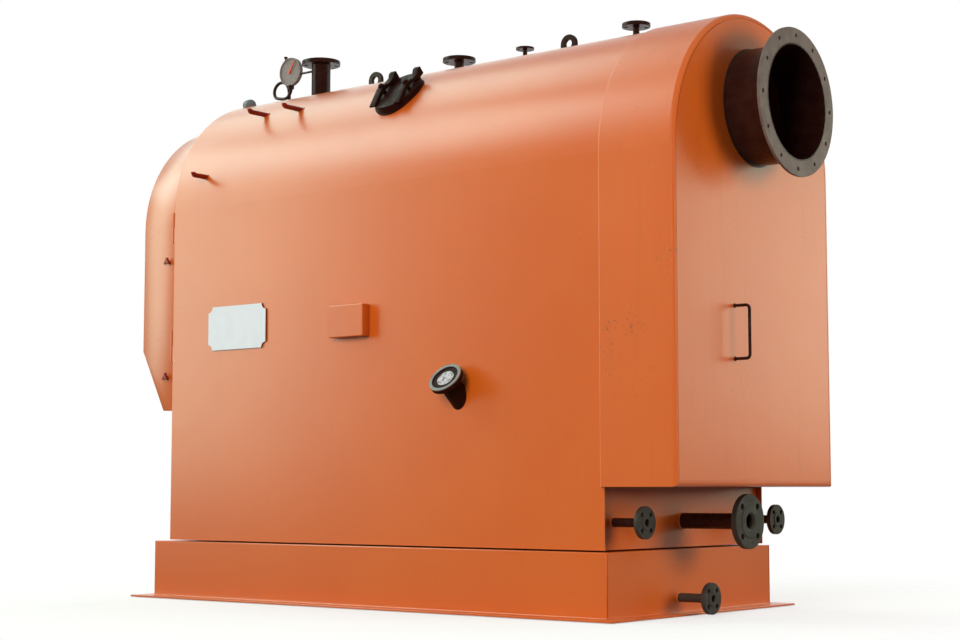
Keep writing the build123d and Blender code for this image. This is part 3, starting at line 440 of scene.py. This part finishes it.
def rounded(source, width):
    """A copy of a CAD node with its sharp edges rounded over, which stands for the node."""
    original = frame["nodes"][source]
    shape = bmesh.new()
    shape.from_mesh(original.data)
    bmesh.ops.remove_doubles(shape, verts=shape.verts, dist=SAME_POINT)
    bmesh.ops.dissolve_limit(shape, angle_limit=SAME_PLANE, verts=shape.verts, edges=shape.edges)
    edges = [edge for edge in shape.edges if len(edge.link_faces) == 2 and edge.calc_face_angle() > SHARP]
    bevel = bmesh.ops.bevel(shape, geom=edges, offset=width, offset_type="OFFSET", segments=EDGE_SEGMENTS,
                            profile=ROUND_PROFILE, affect="EDGES", clamp_overlap=True, material=-1)
    corners = set(bevel["faces"])
    shape.faces.index_update()
    flat = [face.index for face in shape.faces if face not in corners and is_flat(face, corners)]
    name = source + "_rounded"
    made = piece(name, mesh_from(name, shape), DRESS[source], original["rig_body"])
    for index in flat:
        made.data.polygons[index].use_smooth = False
    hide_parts(source)
    return made


def rounded_nameplate():
    """The nameplate, with a second, dark red material on its cut edge as painted shade."""
    plate = rounded("nameplate", FINE_EDGE).data
    plate.materials.append(PLATE_EDGE_PAINTED_SHADE)
    for side in plate.polygons:
        side.material_index = 0 if abs(side.normal.y) >= FACES_OUT else 1


def round_the_edges():
    """Softens the edges that catch the light."""
    for name in ("door_hood", "junction_box", "plinth_side_panels", "plinth_end_panels"):
        rounded(name, SHEET_EDGE)
    rounded_nameplate()
    for name in ("base_plate", "feed_flange", "flue_flange", "drain_flanges", "plinth_drain",
                 "steam_outlet", "safety_valve_pipe", "probe_pipe", "vent_pipe", "burner_flange",
                 "lifting_lugs", "handhole_cover", "handhole_yokes", "handhole_studs"):
        rounded(name, FLANGE_EDGE)
    for name in ("gauge_body", "gauge_cock", "sight_ring", "clamp_screws"):
        rounded(name, FINE_EDGE)


# Weld beads

def facing(centre, axis):
    """A placement at the centre, its Z along the axis and its X along the boiler where it can be."""
    up = Vector(axis).normalized()
    along = Vector((0, 1, 0)) if abs(up.x) >= LIES_ALONG else Vector((1, 0, 0))
    across = up.cross(along).normalized()
    turn = Matrix((across.cross(up), across, up)).transposed().to_4x4()
    return Matrix.Translation(centre) @ turn


def on_the_round(along, degrees):
    """A placement on the jacket's round top, so many degrees down its near side, facing out."""
    turn = math.radians(degrees)
    outward = Vector((0, -math.sin(turn), math.cos(turn)))
    return facing(Vector((along, 0, JACKET_SPRING)) + outward * JACKET_RADIUS, outward)


def ring_bead(shape, place, radius, thick, stretch=1.0, saddle=0.0):
    """A weld bead round a pipe, stretched where the pipe slants and bent over a round roof."""
    profile = Matrix.Translation((radius, 0, 0)) @ Matrix.Rotation(math.pi / 2, 4, "X")
    start = bmesh.ops.create_circle(shape, segments=BEAD_SIDES, radius=thick, matrix=profile)["verts"]
    edges = list({edge for vert in start for edge in vert.link_edges})
    before = set(shape.verts) - set(start)
    bmesh.ops.spin(shape, geom=start + edges, cent=(0, 0, 0), axis=(0, 0, 1), angle=2 * math.pi,
                   steps=BEAD_STEPS, use_merge=True)
    made = [vert for vert in shape.verts if vert not in before]
    for vert in made:
        vert.co.y *= stretch
        if saddle:
            vert.co.z -= saddle - math.sqrt(saddle ** 2 - vert.co.y ** 2)
    bmesh.ops.transform(shape, matrix=place, verts=made)


def straight_bead(shape, start, end):
    """A fine weld bead along a line."""
    run = Vector(end) - Vector(start)
    ring = bmesh.ops.create_circle(shape, segments=BEAD_SIDES, radius=FINE_WELD, cap_ends=True,
                                   matrix=facing(start, run))["verts"]
    grown = bmesh.ops.extrude_face_region(shape, geom=[ring[0].link_faces[0]], use_keep_orig=True)["geom"]
    far_end = [item for item in grown if isinstance(item, bmesh.types.BMVert)]
    bmesh.ops.translate(shape, verts=far_end, vec=run)


def rear_welds():
    """Beads where the pipes leave the rear wall and the plinth."""
    shape = bmesh.new()
    for offset, radius in ((0, FEED_RADIUS), (-DRAIN_OFFSET, DRAIN_RADIUS), (DRAIN_OFFSET, DRAIN_RADIUS)):
        ring_bead(shape, facing((REAR_WALL, offset, PIPE_HEIGHT), REARWARD), radius, FINE_WELD)
    ring_bead(shape, facing(PLINTH_DRAIN, REARWARD), DRAIN_RADIUS, FINE_WELD)
    finished("rear_welds", shape, PAINT)


def flue_welds():
    """Beads where the flue and the handle leave the rear panel."""
    shape = bmesh.new()
    ring_bead(shape, facing((REAR_PANEL, 0, FLUE_HEIGHT), REARWARD), FLUE_RADIUS, WELD)
    for height in HANDLE_HEIGHTS:
        ring_bead(shape, facing((REAR_PANEL, HANDLE_OFFSET, height), REARWARD), HANDLE_RADIUS, FINE_WELD)
    finished("flue_welds", shape, BLACK)


def roof_welds():
    """Beads round the pipes on the roof and the pegs down its near side."""
    shape = bmesh.new()
    for along, radius in ROOF_PIPES:
        ring_bead(shape, facing((along, 0, ROOF_TOP), UPWARD), radius, FINE_WELD, saddle=JACKET_RADIUS)
    for along, degrees in PEGS:
        slant = 1 / math.sin(math.radians(degrees))
        ring_bead(shape, on_the_round(along, degrees), PEG_RADIUS, FINE_WELD, slant, JACKET_RADIUS)
    finished("roof_welds", shape, PAINT)


def fitting_welds():
    """Beads along the lifting lugs and round the handhole."""
    shape = bmesh.new()
    for along in LUG_PLACES:
        for side in (-LUG_HALF_THICKNESS, LUG_HALF_THICKNESS):
            straight_bead(shape, (along - LUG_HALF_WIDTH, side, ROOF_TOP),
                          (along + LUG_HALF_WIDTH, side, ROOF_TOP))
    ring_bead(shape, on_the_round(HANDHOLE_PLACE, HANDHOLE_DEGREES), HANDHOLE_HALF_LENGTH, WELD,
              HANDHOLE_HALF_WIDTH / HANDHOLE_HALF_LENGTH, JACKET_RADIUS)
    finished("fitting_welds", shape, DULL_BLACK)


def side_welds():
    """Beads along the plinth's foot, on its sides and its ends."""
    shape = bmesh.new()
    for side in (-PLINTH_HALF_WIDTH, PLINTH_HALF_WIDTH):
        straight_bead(shape, (-PLINTH_HALF_LENGTH, side, BASE_TOP), (PLINTH_HALF_LENGTH, side, BASE_TOP))
    for end in (-PLINTH_HALF_LENGTH, PLINTH_HALF_LENGTH):
        straight_bead(shape, (end, -PLINTH_HALF_WIDTH, BASE_TOP), (end, PLINTH_HALF_WIDTH, BASE_TOP))
    finished("side_welds", shape, PAINT)


# The gauge's fine detail

def gauge_marks():
    """Plain scale marks round the dial, the long ones at every fifth."""
    shape = bmesh.new()
    dial = facing(DIAL, NEARWARD)
    for step in range(GAUGE_MARKS):
        turn = math.radians(DIAL_START + DIAL_SWEEP * step / (GAUGE_MARKS - 1))
        size = Vector(SHORT_MARK if step % LONG_MARK_EVERY else LONG_MARK)
        outward = Matrix.Translation((0, DIAL_RADIUS - size.y / 2, 0))
        place = dial @ Matrix.Rotation(turn, 4, "Z") @ outward
        bmesh.ops.create_cube(shape, size=1.0, matrix=place @ Matrix.Diagonal(size).to_4x4())
    finished("gauge_marks", shape, BLACK)


def siphon_unions():
    """Hexagon unions at the ends of the siphon."""
    shape = bmesh.new()
    for centre, height in SIPHON_UNIONS:
        bmesh.ops.create_cone(shape, cap_ends=True, segments=UNION_SIDES, radius1=UNION_RADIUS,
                              radius2=UNION_RADIUS, depth=height, matrix=facing(centre, UPWARD))
    bmesh.ops.bevel(shape, geom=shape.edges, offset=UNION_EDGE, segments=EDGE_SEGMENTS,
                    profile=ROUND_PROFILE, affect="EDGES", material=-1)
    finished("siphon_unions", shape, BLACK)


# Floor, studio, lights and camera

def floor():
    """A pale floor that keeps the shadow near the boiler and fades into the white beyond."""
    shape = bmesh.new()
    bmesh.ops.create_circle(shape, cap_ends=True, segments=FLOOR_SIDES, radius=FLOOR_RADIUS)
    obj = in_scene("floor", mesh_from("floor", shape))
    made, tree, shader = surface("floor_white")
    ray = node(tree, "ShaderNodeLightPath")
    seen = blend(tree, ray.outputs["Is Camera Ray"], FLOOR_MIRRORED, FLOOR_SEEN)
    tree.links.new(seen, shader.inputs["Base Color"])
    shader.inputs["Roughness"].default_value = FLOOR_ROUGHNESS
    shader.inputs["Specular IOR Level"].default_value = 0.0
    source = node(tree, "ShaderNodeTexCoord")
    distance = node(tree, "ShaderNodeVectorMath", operation="LENGTH")
    tree.links.new(source.outputs["Object"], distance.inputs[0])
    fade = spread(tree, distance.outputs["Value"], FADE_REACH, FADE_SHARE)
    clear = node(tree, "ShaderNodeBsdfTransparent")
    faded = mix_shaders(tree, fade, shader.outputs[0], clear.outputs[0])
    tree.links.new(faded, tree.nodes["Material Output"].inputs["Surface"])
    obj.data.materials.append(made)
    obj.location = (0, 0, -FLOOR_DROP)


def world():
    """Soft light that grows with height, and a white backdrop that the camera and the gloss see."""
    studio = bpy.data.worlds.new("studio")
    bpy.context.scene.world = studio
    studio.use_nodes = True
    tree = studio.node_tree
    tree.nodes.clear()
    ray = node(tree, "ShaderNodeLightPath")
    source = node(tree, "ShaderNodeTexCoord")
    split = node(tree, "ShaderNodeSeparateXYZ")
    tree.links.new(source.outputs["Generated"], split.inputs[0])
    soft = node(tree, "ShaderNodeBackground", Color=SOFT_TINT)
    strength = spread(tree, split.outputs["Z"], SOFT_RISE, SOFT_STRENGTH)
    tree.links.new(strength, soft.inputs["Strength"])
    behind = node(tree, "ShaderNodeVectorMath", operation="DOT_PRODUCT")
    behind.inputs[1].default_value = BACKDROP_SIDE
    tree.links.new(source.outputs["Generated"], behind.inputs[0])
    backdrop = spread(tree, behind.outputs["Value"], BACKDROP_FADE)
    mirrored = combine(tree, "MULTIPLY", ray.outputs["Is Glossy Ray"], backdrop)
    seen = combine(tree, "ADD", ray.outputs["Is Camera Ray"], mirrored)
    white = node(tree, "ShaderNodeBackground", Color=WHITE, Strength=1.0)
    out = node(tree, "ShaderNodeOutputWorld")
    tree.links.new(mix_shaders(tree, seen, soft.outputs[0], white.outputs[0]), out.inputs["Surface"])


def softbox(name, place, target, size, power, colour=NEUTRAL, mirrored=True):
    """A rectangular lamp of so many watts aimed at a point, that glossy surfaces mirror or not."""
    lamp = bpy.data.lights.new(name, "AREA")
    lamp.shape = "RECTANGLE"
    lamp.size, lamp.size_y = size
    lamp.energy = power
    lamp.color = colour
    obj = in_scene(name, lamp)
    obj.visible_glossy = mirrored
    aim = Vector(target) - Vector(place)
    obj.location = place
    obj.rotation_euler = aim.to_track_quat("-Z", "Y").to_euler()


def lights():
    """A key and three fills that only light, and six soft boxes that glossy surfaces also mirror."""
    softbox("key", (2.1, -6.5, 2.4), (0.1, 0, 0.7), (3.0, 3.0), 400, mirrored=False)
    softbox("door_end", (-4.2, -3.0, 1.9), (-0.8, -0.4, 1.1), (2.2, 3.0), 60, WARM)
    softbox("hood_end", (-4.1, -1.4, 3.75), (-1.0, -0.4, 1.4), (1.5, 1.5), 20, PALE)
    softbox("shoulder", (-6.6, -5.1, 7.6), (0, -0.35, 1.65), (4.2, 4.6), 220, PALE)
    softbox("overhead", (-5.8, 0.5, 8.2), (0, -0.1, 1.8), (4.4, 4.4), 150, PALE)
    softbox("far_side", (-3.4, 3.1, 3.3), (-0.1, 0, 1.7), (2.8, 2.4), 18, PALE)
    softbox("flue_end", (4.9, 1.1, 1.4), (1.2, 0, 0.7), (2.0, 1.8), 118, mirrored=False)
    softbox("behind", (2.8, 4.0, 1.5), (1.2, 0, 0.9), (2.4, 2.0), 30, WARM)
    softbox("back_fill", (-0.6, 7.5, 2.6), (0, 0.4, 0.9), (3.0, 3.0), 300, mirrored=False)
    softbox("door_fill", (-7.5, 1.0, 2.4), (-1.0, 0, 0.9), (2.5, 2.5), 200, mirrored=False)


def camera():
    """The photograph's viewpoint."""
    lens = bpy.data.cameras.new("camera")
    lens.lens = CAMERA_LENS
    lens.sensor_width = CAMERA_SENSOR
    obj = in_scene("camera", lens)
    obj.location = CAMERA_PLACE
    obj.rotation_euler = (math.radians(90 + CAMERA_PITCH), 0, math.radians(CAMERA_YAW))
    bpy.context.scene.camera = obj


dress_frame()
round_the_edges()
rear_welds()
flue_welds()
roof_welds()
fitting_welds()
side_welds()
gauge_marks()
siphon_unions()

floor()
world()
lights()
camera()
bpy.context.scene.view_settings.view_transform = "Standard"
